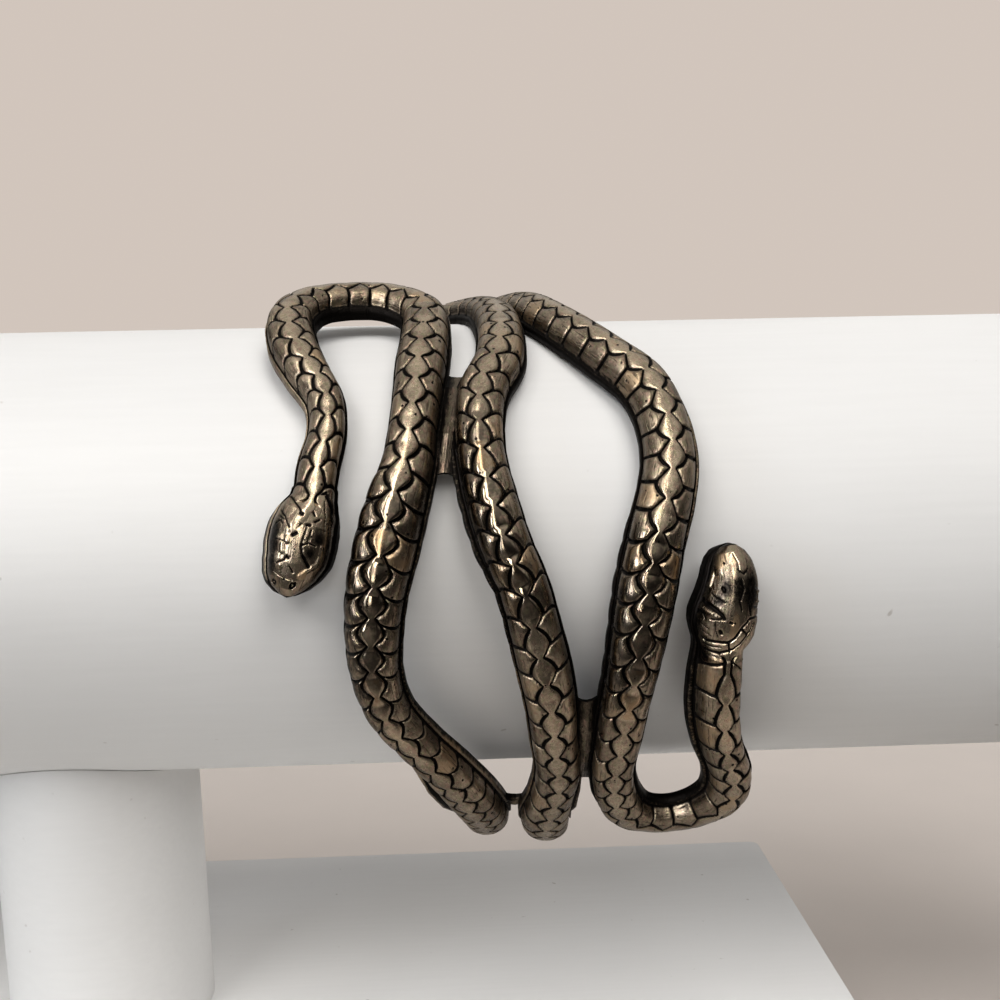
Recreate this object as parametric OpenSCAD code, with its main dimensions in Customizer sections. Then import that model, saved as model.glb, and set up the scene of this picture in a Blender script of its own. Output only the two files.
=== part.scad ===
// Snake cuff bracelet hung on a T-bar display stand.
// The cuff is one casting: a snake with a head at each end, laid out as a flat
// meander and then bent round the wrist, so it is drawn here in the same order.
// Millimetres. X runs along the bar, the front faces -Y, the stand's foot is on z = 0.

/* [Cuff] */
// Inside radius of the bent cuff
inner_r = 28; // [27:0.5:30]
// Height of the body's crest above the inside face
crest_h = 3.4; // [3:0.1:3.8]
// Length of one row of scales along the body
scale_pitch = 2.9; // [2.9:0.1:3.8]
// Depth of the grooves cast between the scales
groove_depth = 0.28; // [0.1:0.02:0.36]
// Height of the side wall under the scales
rim_h = 0.9; // [0.6:0.1:1.1]
// How far the wall's rim stands out past the scales
rim_out = 0.24; // [0.2:0.02:0.5]
// Thickness of the webs that tie the strands together
web_h = 1.1; // [0.8:0.1:1.4]
// Degrees that the cuff is turned up on the bar
cuff_turn = 7; // [0:1:15]

/* [Stand] */
// Bar diameter
bar_d = 50.8; // [44:0.2:52]
// Bar length
bar_len = 305; // [240:5:360]
// Post diameter
post_d = 23.5; // [18:0.5:30]
// Base length along the bar
base_len = 182; // [150:2:240]
// Base depth
base_depth = 88; // [70:2:120]
// Base thickness
base_h = 18; // [12:1:25]
// Height of the bar's axis above the top of the base
bar_rise = 56.5; // [45:0.5:90]
// Distance of the cuff's middle from the post
cuff_x = 50.5; // [40:0.5:90]

/* [Hidden] */
clear = 0.05;
axis_z = base_h + bar_rise;
// The cuff hangs with its inside face on the top of the bar.
cuff_z = axis_z - (inner_r - bar_d / 2) + clear;
// Radius at which the flat pattern keeps its length when it is bent.
mid_r = inner_r + 2;
// The rings are closer on the front half than behind the wrist.
front_angle = 98;

// The middle line of the snake from the left head's snout to the right head's.
// angle: degrees round the cuff from its front, upwards
// side: mm along the cuff's axis
// lift: mm that the strand stands off the round, or below 0 that its crest is lower;
// where it stands off, its side wall is taller too
// width: mm across the strand at its rim
// lean: mm that the crest is set to the side
ANGLE = 0;
SIDE = 1;
LIFT = 2;
WIDTH = 3;
LEAN = 4;
PATH = [
  // left head
  [-4.7, -20.8, 0, 4.6, 0.5],
  [1.5, -20.1, 0, 4.6, 0.5],
  [7.5, -19.55, 0, 4.4, 0.5],
  // first strand, rising from the head
  [13.5, -18.6, 0, 4.1, 0.5],
  [20, -18.2, 0, 4.2, 0.6],
  [27, -17.55, 0, 4, 0.6],
  [34, -17.85, 0.2, 4, 0.4],
  [41, -19.65, 0.5, 4.6, 0.2],
  [48.5, -21.3, 1, 5.1, 0],
  // upper turn
  [56.5, -21.9, 1.5, 5, 0],
  [63.5, -20.2, 1.7, 5, 0],
  [66.5, -16.3, 1.75, 5, 0],
  [66, -12.1, 1.6, 5, 0],
  [61, -8.7, 1.1, 5, 0],
  // second strand
  [53, -8.2, 0.6, 5.3, 0],
  [44.5, -8.45, 0.2, 5.5, 0],
  [36, -8.7, 0, 5.2, 0.1],
  [28, -9, 0, 5.1, 0.2],
  [20, -9.5, 0, 5.4, 0.2],
  [12, -10.65, 0, 6.1, 0.2],
  [4, -11.75, 0, 6.3, 0.1],
  [-4, -12.75, 0, 6, 0],
  [-12, -13.2, 0, 5.6, 0],
  [-20, -13.15, 0, 5.1, 0],
  [-28, -12.1, 0, 4.8, 0],
  [-36, -9.6, 0, 4.7, 0],
  [-44, -7.1, 0, 5.1, 0],
  [-53, -5.1, 0, 5.6, 0],
  [-62, -3.9, 0, 5.6, 0],
  // lower turn behind the wrist
  [-72, -3.4, 0, 5.4, 0],
  [-83, -3.9, 0, 5.2, 0],
  [-94, -4.9, 0, 5, 0],
  [-105, -6.7, 0, 5, 0],
  [-117, -8.9, 0, 5, 0],
  [-129, -9.6, 0, 5, 0],
  [-139.5, -7.9, 0, 5, 0],
  [-144.5, -2.3, 0, 5, 0],
  [-139.5, 3.2, 0, 5, 0],
  [-129, 5.3, 0, 5, 0],
  [-117, 5.4, 0, 5, 0],
  [-105, 4.9, 0, 5, 0],
  [-94, 4.3, 0.2, 5.2, 0],
  [-84, 3.7, 0.5, 5.4, 0],
  [-74, 3.2, 0.8, 5.6, 0],
  // middle strand
  [-64, 2.9, 0.6, 5.8, 0],
  [-54, 3.55, 0.3, 5.05, 0],
  [-45, 4.1, 0, 5.1, 0],
  [-36, 3.65, 0, 5.1, 0],
  [-28, 3.35, 0, 5.35, 0],
  [-20, 2.7, 0, 5.55, 0],
  [-12, 1.8, 0, 5.45, 0],
  [-4, 0.75, 0, 5.45, 0.1],
  [4, -0.95, 0, 5.65, 0.2],
  [12, -2.1, 0, 5.65, 0.2],
  [20, -2.9, 0, 5.4, 0.2],
  [28, -3.05, 0, 5.35, 0.2],
  [36, -2.5, 0, 5.4, 0.1],
  [44.5, -0.8, 0, 5.4, 0],
  [54, -0.5, -0.1, 5.2, 0],
  [64, -0.9, -0.3, 5.2, 0],
  // upper turn behind the wrist
  [74, -1.9, -0.4, 5.1, 0],
  [84, -4, -0.4, 5, 0],
  [94, -7.2, -0.2, 5, 0],
  [105, -11.6, 0, 5, 0],
  [117, -16, 0, 5, 0],
  [130, -18.4, 0, 5, 0],
  [140.5, -17, 0, 5, 0],
  [144.5, -13, 0, 5, 0],
  [140.5, -9, 0, 5, 0],
  [130, -7.2, 0, 5, 0],
  [117, -6.4, 0, 5, 0],
  [105, -4.6, 0, 5, 0],
  [94, -1.8, 0, 5, 0],
  [83, 1, 0, 5, 0],
  // fourth strand
  [72.5, 3, 0, 5, 0],
  [62.5, 4.8, 0, 5, 0],
  [54, 7.1, 0, 5.1, 0],
  [45.5, 10, 0, 5.2, 0],
  [37.2, 13.2, 0, 5.4, 0],
  [29, 14.7, 0, 5.4, 0],
  [20, 15.15, 0, 5.6, 0],
  [12, 14.5, 0, 5.8, 0],
  [4, 13.3, 0, 6, 0],
  [-4, 12.4, 0, 6.2, 0],
  [-12, 11.7, 0, 5.95, 0],
  [-20, 11.05, 0, 5.55, 0],
  [-28, 10.4, 0, 5.25, 0],
  [-36, 9.95, 0.1, 5.1, 0],
  [-44.5, 9.55, 0.4, 4.9, 0],
  // lower turn
  [-53, 10.2, 0.8, 5, 0],
  [-60, 12, 1.1, 5, 0],
  [-62.5, 15.2, 1.2, 5, 0],
  [-60.5, 18.6, 1.1, 5, 0],
  [-54, 21.1, 0.9, 5, 0.2],
  [-46.5, 21.2, 0.6, 5, 0.5],
  [-38.5, 19.75, 0.3, 4.9, 0.8],
  // last strand, rising to the right head
  [-30.5, 18.85, 0.1, 4.9, 1],
  [-23, 18.75, 0, 4.8, 1],
  [-16, 19.05, 0, 4.5, 0.8],
  [-10, 19.65, 0, 4.6, 0.6],
  [-3.5, 20.2, 0, 4.6, 0.5],
  [3.3, 19.75, 0, 4.6, 0.5]
];

// The heads, from the snout back.
// back: mm from the tip; left, right: half width of each head; high: height of its crown
BACK = 0;
LEFT = 1;
RIGHT = 2;
HIGH = 3;
HEAD = [
  [0, 0.3, 0.3, 1.7],
  [0.3, 1.2, 1.25, 2.1],
  [1, 2.1, 2, 2.6],
  [2, 2.8, 2.5, 3],
  [3.4, 3.3, 2.85, 3.4],
  [5.2, 3.5, 3.1, 3.7],
  [7, 3.45, 3.4, 3.7],
  [8.2, 3.15, 3.25, 3.5],
  [9.2, 2.65, 2.8, 3.2],
  [10, 2.3, 2.35, 3],
  [11, 2.2, 2.25, 3.05]
];
head_len = 11;

// How deep each dome point is sunk where two scales meet and along a scale.
// crest, brow of the middle scale, side scale, foot of the side scale
CREST = 0;
BROW = 1;
FLANK = 2;
FOOT = 3;
RELIEF_JOIN = [0, 0.1, 1, 0.9];
RELIEF_SCALE = [0, 0.95, 0, 0];
// Angle of each dome point from the crest.
DOME = [0, 24, 48, 70];

// The webs between the strands, each from its first row to its second.
// angle, then the left and the right side of the web there
WEB_LEFT = 1;
WEB_RIGHT = 2;
WEBS = [
  [[39, -6.8, -3.8], [17.5, -7.6, -5]],
  [[-26, 5.2, 8.4], [-52, 5.2, 8.2]],
  [[-59, -1.8, 1.5], [-64, -1.8, 1]],
  [[66, 0.8, 3.2], [76, -0.4, 1.6]]
];
web_parts = 3;
web_low = 0.15;

// A smooth curve through the rows of the path.
function path_row(i) = PATH[min(max(i, 0), len(PATH) - 1)];
function blend(a, b, c, d, u) =
  0.5 * (2 * b + (c - a) * u + (2 * a - 5 * b + 4 * c - d) * u * u + (3 * b - a - 3 * c + d) * u * u * u);
function at(t) = let (i = min(floor(t), len(PATH) - 2), u = t - i)
  blend(
    i > 0 ? path_row(i - 1) : 2 * path_row(0) - path_row(1),
    path_row(i),
    path_row(i + 1),
    i < len(PATH) - 2 ? path_row(i + 2) : 2 * path_row(i + 1) - path_row(i),
    u
  );

// Flat place of the middle line: along the bend, then along the axis.
function flat(t) = let (r = at(t)) [r[ANGLE] * PI / 180 * mid_r, r[SIDE]];
function heading(t) = let (d = flat(t + 0.02) - flat(t - 0.02)) d / norm(d);

// Length along the middle line, as pairs of length and row number.
step = 0.125;
last_t = len(PATH) - 1;
lengths = [
  for (t = 0, p = flat(0), s = 0; t <= last_t; t = t + step, s = s + norm(flat(t) - p), p = flat(t))
    [s, t]
];
snake_len = lengths[len(lengths) - 1][0];

// From the flat pattern to the bent cuff.
function bend_round(s, x, h) =
  let (a = s / mid_r * 180 / PI + cuff_turn)
  [x, -(inner_r + h) * cos(a), (inner_r + h) * sin(a)];

// Size of the body at a length s: half width and height, with the heads at both ends.
function tip_dist(s) = min(s, snake_len - s);
function column(table, c) = [for (r = table) [r[0], r[c]]];
function half_w(s, t) = tip_dist(s) < head_len
  ? lookup(tip_dist(s), column(HEAD, s < snake_len / 2 ? LEFT : RIGHT))
  : at(t)[WIDTH] / 2;
function height(s, t) = tip_dist(s) < head_len
  ? lookup(tip_dist(s), column(HEAD, HIGH))
  : crest_h * (0.6 + 0.4 * at(t)[WIDTH] / 5.2);

// One ring round the body: rim, groove, dome and back, from left to right.
wall_per_lift = 0.3;
function dome_point(k, hw, hh, wall, sink) =
  let (a = DOME[abs(k)] * sign(k), w = hw - rim_out - 0.6 * sink * abs(sin(a)))
  [w * sin(a), wall + (hh - wall) * pow(cos(a), 0.8) - sink * cos(a)];
function ring_2d(hw, hh, wall, relief) = [
  [-hw, 0],
  [-hw, wall],
  [-hw + rim_out, wall],
  for (k = [-3:3]) dome_point(k, hw, hh, wall, relief[abs(k)]),
  [hw - rim_out, wall],
  [hw, wall],
  [hw, 0]
];
function ring(s, relief) =
  let (
    t = lookup(s, lengths),
    r = at(t),
    p = flat(t),
    d = heading(t),
    hh = height(s, t) + min(r[LIFT], 0),
    lift = max(r[LIFT], 0)
  )
  [for (q = ring_2d(half_w(s, t), hh, rim_h + wall_per_lift * lift, relief))
    let (w = q[0] + r[LEAN] * q[1] / hh)
    bend_round(p[0] - d[1] * w, p[1] + d[0] * w, lift + q[1])];

// Where the rings go: close on the snouts, three to a scale in front, two behind.
scales = round((snake_len - 2 * head_len) / scale_pitch);
pitch = (snake_len - 2 * head_len) / scales;
function is_front(s) = abs(at(lookup(s, lengths))[ANGLE]) < front_angle;
smooth = [0, 0, 0, 0];
first_gap = 0.3;
groove_part = 0.24;
function scale_rings(s) = is_front(s)
  ? [[s, RELIEF_JOIN], [s + groove_part * pitch, RELIEF_SCALE], [s + (1 - groove_part) * pitch, RELIEF_SCALE]]
  : [[s, RELIEF_JOIN], [s + pitch / 2, RELIEF_SCALE]];
ring_list = concat(
  [for (r = HEAD) [r[BACK], smooth]],
  [for (k = [0:scales - 1]) each scale_rings(head_len + k * pitch + first_gap)],
  [for (i = [len(HEAD) - 1:-1:0]) [snake_len - HEAD[i][BACK], smooth]]
);

module body() {
  rings = [for (r = ring_list) ring(r[0], [for (v = r[1]) v * groove_depth])];
  n = len(rings[0]);
  m = len(rings);
  // The faces are split the same way on the left and the right of the crest.
  polyhedron(
    points = [for (r = rings) each r],
    faces = concat(
      [[for (j = [0:n - 1]) j]],
      [for (i = [0:m - 2], j = [0:n - 1])
        let (a = i * n + j, b = i * n + (j + 1) % n, c = (i + 1) * n + (j + 1) % n, d = (i + 1) * n + j)
        each (j < floor(n / 2) ? [[a, d, b], [b, d, c]] : [[a, d, c], [a, c, b]])],
      [[for (j = [n - 1:-1:0]) (m - 1) * n + j]]
    ),
    convexity = 12
  );
}

// A thin web between two strands, hulled in short stretches so that it bends with them.
module web(from, to) {
  for (k = [0:web_parts - 1]) {
    hull() {
      web_slice(from + (to - from) * k / web_parts);
      web_slice(from + (to - from) * (k + 1) / web_parts);
    }
  }
}

module web_slice(row) {
  s = row[ANGLE] * PI / 180 * mid_r;
  thin = 0.06;
  polyhedron(
    points = [
      for (d = [-thin, thin], h = [web_low, web_h], x = [row[WEB_LEFT], row[WEB_RIGHT]])
        bend_round(s + d, x, h)
    ],
    faces = [[0, 1, 3, 2], [4, 6, 7, 5], [0, 4, 5, 1], [2, 3, 7, 6], [0, 2, 6, 4], [1, 5, 7, 3]]
  );
}

module snake_cuff() {
  color([0.62, 0.57, 0.5])
    translate([cuff_x, 0, cuff_z])
      union() {
        body();
        for (w = WEBS) web(w[0], w[1]);
      }
}

module stand_bar() {
  edge = 1.2;
  r = bar_d / 2;
  color([0.95, 0.94, 0.92])
    translate([0, 0, axis_z])
      rotate([0, 90, 0])
        rotate_extrude($fn = 96)
          polygon([
            [0, -bar_len / 2],
            [r - edge, -bar_len / 2],
            [r, -bar_len / 2 + edge],
            [r, bar_len / 2 - edge],
            [r - edge, bar_len / 2],
            [0, bar_len / 2]
          ]);
}

module stand_post() {
  // The post reaches up inside the bar's round before the saddle is cut.
  below_axis = 10;
  color([0.95, 0.94, 0.92])
    difference() {
      translate([0, 0, base_h + clear])
        cylinder(h = bar_rise - below_axis, d = post_d, $fn = 64);
      translate([0, 0, axis_z])
        rotate([0, 90, 0])
          cylinder(h = 2 * post_d, r = bar_d / 2 + clear, center = true, $fn = 96);
    }
}

module stand_base() {
  corner = 1.5;
  color([0.95, 0.94, 0.92])
    linear_extrude(height = base_h)
      union() {
        square([base_len, base_depth - 2 * corner], center = true);
        square([base_len - 2 * corner, base_depth], center = true);
        for (i = [-1, 1], j = [-1, 1])
          translate([i * (base_len / 2 - corner), j * (base_depth / 2 - corner)])
            circle(r = corner, $fn = 32);
      }
}

snake_cuff();
stand_bar();
stand_post();
stand_base();
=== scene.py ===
# %% [markdown]
# # A snake cuff bracelet on its stand
# The bracelet is one casting in white metal: a long snake with a head at each end, laid
# out as a meander, bent round the wrist and then darkened, so that its grooves are black
# and its scales are rubbed bright. It hangs on the bar of a white T-shaped stand. The
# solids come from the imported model, and this lesson gives them their looks.

# %% Load the solids
import bpy
import math
import numpy as np
from mathutils import Matrix, Vector


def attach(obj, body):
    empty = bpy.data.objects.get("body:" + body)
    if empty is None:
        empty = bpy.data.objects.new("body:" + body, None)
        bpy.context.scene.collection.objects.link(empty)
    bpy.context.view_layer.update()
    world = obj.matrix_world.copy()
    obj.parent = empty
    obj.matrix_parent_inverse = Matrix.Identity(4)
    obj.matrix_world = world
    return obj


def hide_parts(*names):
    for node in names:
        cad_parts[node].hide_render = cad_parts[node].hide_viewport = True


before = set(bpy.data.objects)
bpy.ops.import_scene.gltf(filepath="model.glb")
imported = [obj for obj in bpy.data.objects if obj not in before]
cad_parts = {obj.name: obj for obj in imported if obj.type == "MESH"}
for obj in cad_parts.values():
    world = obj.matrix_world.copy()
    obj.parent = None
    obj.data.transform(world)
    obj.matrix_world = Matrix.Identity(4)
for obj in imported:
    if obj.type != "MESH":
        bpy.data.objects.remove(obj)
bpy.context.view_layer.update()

# %% [markdown]
# ## The camera
# The camera comes first, because every later choice is judged through it. It stands about
# ten centimetres in front of the bar, a little above it, and looks slightly down. The three
# angles are turned into the camera's own right, up and back directions.

# %% Camera
CAMERA_AT = (0.04905, -0.1299, 0.0893)
pitch, yaw, roll = math.radians(8.3), math.radians(2.0), math.radians(1.29)
ahead = Vector((math.cos(pitch) * math.sin(yaw), math.cos(pitch) * math.cos(yaw), -math.sin(pitch)))
level = Vector((math.cos(yaw), -math.sin(yaw), 0))
above = level.cross(ahead)
right = level * math.cos(roll) - above * math.sin(roll)
up = level * math.sin(roll) + above * math.cos(roll)
bpy.ops.object.select_all(action="DESELECT")
bpy.ops.object.camera_add(location=CAMERA_AT)
camera = bpy.context.object
camera.name = "front_camera"
camera.matrix_world = Matrix.Translation(CAMERA_AT) @ Matrix((right, up, -ahead)).transposed().to_4x4()
camera.data.lens = 39.5
camera.data.shift_x = -0.036
camera.data.shift_y = 0.076
camera.data.clip_start = 0.01
bpy.context.scene.camera = camera
print("camera looks along", [round(c, 3) for c in ahead])

# %% [markdown]
# ## Helpers for working by hand
# A bpy operator acts on whatever is selected, so each step starts with nothing selected
# and then picks its own object. Two more helpers read the places of a mesh's vertices, and
# write the marks that the finish follows.

# %% Selecting and editing
def only(piece):
    bpy.ops.object.select_all(action="DESELECT")
    piece.select_set(True)
    bpy.context.view_layer.objects.active = piece


def edit_all(piece):
    """Goes into Edit Mode on one piece, with everything in it selected."""
    only(piece)
    bpy.ops.object.mode_set(mode="EDIT")
    bpy.ops.mesh.select_all(action="SELECT")


def places_of(mesh):
    """The places of a mesh's vertices, one row for each."""
    places = np.zeros(len(mesh.vertices) * 3)
    mesh.vertices.foreach_get("co", places)
    return places.reshape(-1, 3)


def keep_marks(mesh, marks):
    """Writes each mark on the vertices, for the finish to read."""
    for name, values in marks.items():
        mesh.attributes.new(name, "FLOAT", "POINT").data.foreach_set("value", values.astype(np.float32))


# %% [markdown]
# ## The snake's middle line
# The maker draws the snake flat: a middle line, with its width, its lift off the round and
# its lean at each step. The table is the one that the solid is made from, so the skin lies
# where the solid does. A smooth curve runs through the rows, and its length is measured,
# because the scales are spaced along that length.

# %% Sizes and path, in millimetres
INNER_R, CREST_H, RIM_H, TURN = 28.0, 3.4, 0.9, 7.0
MID_R = INNER_R + 2
CUFF_AT = (0.0505, 0.0, 0.07195)
USUAL_W = 5.2
# angle round the cuff, side, lift, width, lean
ANGLE, SIDE, LIFT, WIDTH, LEAN = range(5)
PATH = np.array([
    (-4.7, -20.8, 0, 4.6, 0.5), (1.5, -20.1, 0, 4.6, 0.5), (7.5, -19.55, 0, 4.4, 0.5),
    (13.5, -18.6, 0, 4.1, 0.5), (20, -18.2, 0, 4.2, 0.6), (27, -17.55, 0, 4, 0.6),
    (34, -17.85, 0.2, 4, 0.4), (41, -19.65, 0.5, 4.6, 0.2), (48.5, -21.3, 1, 5.1, 0),
    (56.5, -21.9, 1.5, 5, 0), (63.5, -20.2, 1.7, 5, 0), (66.5, -16.3, 1.75, 5, 0),
    (66, -12.1, 1.6, 5, 0), (61, -8.7, 1.1, 5, 0), (53, -8.2, 0.6, 5.3, 0), (44.5, -8.45, 0.2, 5.5, 0),
    (36, -8.7, 0, 5.2, 0.1), (28, -9, 0, 5.1, 0.2), (20, -9.5, 0, 5.4, 0.2), (12, -10.65, 0, 6.1, 0.2),
    (4, -11.75, 0, 6.3, 0.1), (-4, -12.75, 0, 6, 0), (-12, -13.2, 0, 5.6, 0), (-20, -13.15, 0, 5.1, 0),
    (-28, -12.1, 0, 4.8, 0), (-36, -9.6, 0, 4.7, 0), (-44, -7.1, 0, 5.1, 0), (-53, -5.1, 0, 5.6, 0),
    (-62, -3.9, 0, 5.6, 0), (-72, -3.4, 0, 5.4, 0), (-83, -3.9, 0, 5.2, 0), (-94, -4.9, 0, 5, 0),
    (-105, -6.7, 0, 5, 0), (-117, -8.9, 0, 5, 0), (-129, -9.6, 0, 5, 0), (-139.5, -7.9, 0, 5, 0),
    (-144.5, -2.3, 0, 5, 0), (-139.5, 3.2, 0, 5, 0), (-129, 5.3, 0, 5, 0), (-117, 5.4, 0, 5, 0),
    (-105, 4.9, 0, 5, 0), (-94, 4.3, 0.2, 5.2, 0), (-84, 3.7, 0.5, 5.4, 0), (-74, 3.2, 0.8, 5.6, 0),
    (-64, 2.9, 0.6, 5.8, 0), (-54, 3.55, 0.3, 5.05, 0), (-45, 4.1, 0, 5.1, 0), (-36, 3.65, 0, 5.1, 0),
    (-28, 3.35, 0, 5.35, 0), (-20, 2.7, 0, 5.55, 0), (-12, 1.8, 0, 5.45, 0), (-4, 0.75, 0, 5.45, 0.1),
    (4, -0.95, 0, 5.65, 0.2), (12, -2.1, 0, 5.65, 0.2), (20, -2.9, 0, 5.4, 0.2),
    (28, -3.05, 0, 5.35, 0.2), (36, -2.5, 0, 5.4, 0.1), (44.5, -0.8, 0, 5.4, 0),
    (54, -0.5, -0.1, 5.2, 0), (64, -0.9, -0.3, 5.2, 0), (74, -1.9, -0.4, 5.1, 0), (84, -4, -0.4, 5, 0),
    (94, -7.2, -0.2, 5, 0), (105, -11.6, 0, 5, 0), (117, -16, 0, 5, 0), (130, -18.4, 0, 5, 0),
    (140.5, -17, 0, 5, 0), (144.5, -13, 0, 5, 0), (140.5, -9, 0, 5, 0), (130, -7.2, 0, 5, 0),
    (117, -6.4, 0, 5, 0), (105, -4.6, 0, 5, 0), (94, -1.8, 0, 5, 0), (83, 1, 0, 5, 0),
    (72.5, 3, 0, 5, 0), (62.5, 4.8, 0, 5, 0), (54, 7.1, 0, 5.1, 0), (45.5, 10, 0, 5.2, 0),
    (37.2, 13.2, 0, 5.4, 0), (29, 14.7, 0, 5.4, 0), (20, 15.15, 0, 5.6, 0), (12, 14.5, 0, 5.8, 0),
    (4, 13.3, 0, 6, 0), (-4, 12.4, 0, 6.2, 0), (-12, 11.7, 0, 5.95, 0), (-20, 11.05, 0, 5.55, 0),
    (-28, 10.4, 0, 5.25, 0), (-36, 9.95, 0.1, 5.1, 0), (-44.5, 9.55, 0.4, 4.9, 0),
    (-53, 10.2, 0.8, 5, 0), (-60, 12, 1.1, 5, 0), (-62.5, 15.2, 1.2, 5, 0), (-60.5, 18.6, 1.1, 5, 0),
    (-54, 21.1, 0.9, 5, 0.2), (-46.5, 21.2, 0.6, 5, 0.5), (-38.5, 19.75, 0.3, 4.9, 0.8),
    (-30.5, 18.85, 0.1, 4.9, 1), (-23, 18.75, 0, 4.8, 1), (-16, 19.05, 0, 4.5, 0.8),
    (-10, 19.65, 0, 4.6, 0.6), (-3.5, 20.2, 0, 4.6, 0.5), (3.3, 19.75, 0, 4.6, 0.5),
], float)
# distance from the snout, half width of the left head, of the right head, height of the crown
LEFT_HALF, RIGHT_HALF, CROWN = 1, 2, 3
HEAD = np.array([
    (0, 0.3, 0.3, 1.7), (0.3, 1.2, 1.25, 2.1), (1, 2.1, 2, 2.6), (2, 2.8, 2.5, 3),
    (3.4, 3.3, 2.85, 3.4), (5.2, 3.5, 3.1, 3.7), (7, 3.45, 3.4, 3.7), (8.2, 3.15, 3.25, 3.5),
    (9.2, 2.65, 2.8, 3.2), (10, 2.3, 2.35, 3), (11, 2.2, 2.25, 3.05),
], float)
HEAD_LEN = 11.0
ROW_PART = 0.125


# %% A smooth line through the path
def read(table, at, column):
    """Values of one column of a table, at places along its first column."""
    return np.interp(at, table[:, 0], table[:, column])


def path_at(t):
    """Values of the path at row numbers t, on a smooth curve through its rows."""
    t = np.asarray(t, float)
    rows = np.vstack([2 * PATH[0] - PATH[1], PATH, 2 * PATH[-1] - PATH[-2]])
    i = np.clip(np.floor(t).astype(int), 0, len(PATH) - 2)
    u = (t - i)[..., None]
    a, b, c, d = rows[i], rows[i + 1], rows[i + 2], rows[i + 3]
    return 0.5 * (2 * b + (c - a) * u + (2 * a - 5 * b + 4 * c - d) * u * u
                  + (3 * b - a - 3 * c + d) * u ** 3)


def flat_at(t):
    row = path_at(t)
    return np.stack([np.radians(row[..., ANGLE]) * MID_R, row[..., SIDE]], -1)


ROW = np.arange(0, len(PATH) - 1 + 1e-9, ROW_PART)
LENGTH = np.concatenate([[0], np.cumsum(np.linalg.norm(np.diff(flat_at(ROW), axis=0), axis=1))])
SNAKE_LEN = LENGTH[-1]
print("the snake is", round(SNAKE_LEN, 1), "mm long from snout to snout")


# %% Width, height and bend
def frame_at(s):
    """Middle point, direction, half width, height, lift and lean at lengths s."""
    t, short = np.interp(s, LENGTH, ROW), 0.02
    row, middle = path_at(t), flat_at(t)
    way = flat_at(t + short) - flat_at(t - short)
    way /= np.linalg.norm(way, axis=-1, keepdims=True)
    back = np.minimum(s, SNAKE_LEN - s)
    head_half = np.where(s < SNAKE_LEN / 2, read(HEAD, back, LEFT_HALF), read(HEAD, back, RIGHT_HALF))
    half = np.where(back < HEAD_LEN, head_half, row[..., WIDTH] / 2)
    body_high = CREST_H * (0.6 + 0.4 * row[..., WIDTH] / USUAL_W)
    high = np.where(back < HEAD_LEN, read(HEAD, back, CROWN), body_high)
    lift = row[..., LIFT]
    return middle, way, half, high + np.minimum(lift, 0), np.maximum(lift, 0), row[..., LEAN]


def bent(along, side, height):
    """From the flat pattern to the bent cuff, in metres."""
    a = along / MID_R + math.radians(TURN)
    r = (INNER_R + height) / 1000
    x, y, z = CUFF_AT
    return np.stack([x + side / 1000, y - r * np.cos(a), z + r * np.sin(a)], -1)


# %% [markdown]
# ## Where each scale sits
# Each row has a middle scale like a diamond, and a scale down each side. The rows are not
# quite even in the casting, so a short table gives the length at which some numbered
# grooves cross the snake, and the ones between are spread evenly. A second table says how
# the scales change along the snake: how far the diamond's widest point lies along its
# length, how much each scale bulges, and how deep the grooves are. Two more say where the
# base stands out beside the scales, as a ledge and as a thin flange.

# %% Marks along the snake
# number of the first groove in each run: the lengths from the left snout of it and the next ones
RUNS = {
    0: (10.6, 13.2, 16.0, 18.5, 20.8, 23.1, 25.6, 28.2, 30.6),
    18: (57.2, 59.7, 62.2, 65.0, 68.0, 70.8, 73.5, 76.4, 79.1, 82.1, 84.9, 87.5, 90.0, 92.5, 95.3, 97.9,
        100.5, 103.2, 106.1, 108.8, 111.4, 113.8, 116.3, 118.6),
    81: (227.4, 230.1, 232.9, 235.7, 238.3, 241.1, 244.0, 246.7, 249.5, 252.2, 254.9, 257.8, 260.8),
    141: (395.6, 398.3, 401.1, 403.8, 406.6, 409.4, 412.1, 414.8, 417.5, 420.3, 423.5, 426.1, 428.9,
        431.7, 434.4, 437.1, 439.5, 442.0, 444.7, 447.8, 451.0, 454.4, 457.8, 460.4, 462.5, 464.6, 467.0,
        470.1, 473.3, 476.5),
}
MARKS = np.array([(first + i, s) for first, run in RUNS.items() for i, s in enumerate(run)])
UNITS, FIRST_ROW = 170, 2.6
GROOVES = read(MARKS, np.arange(UNITS + 1), 1)
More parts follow.
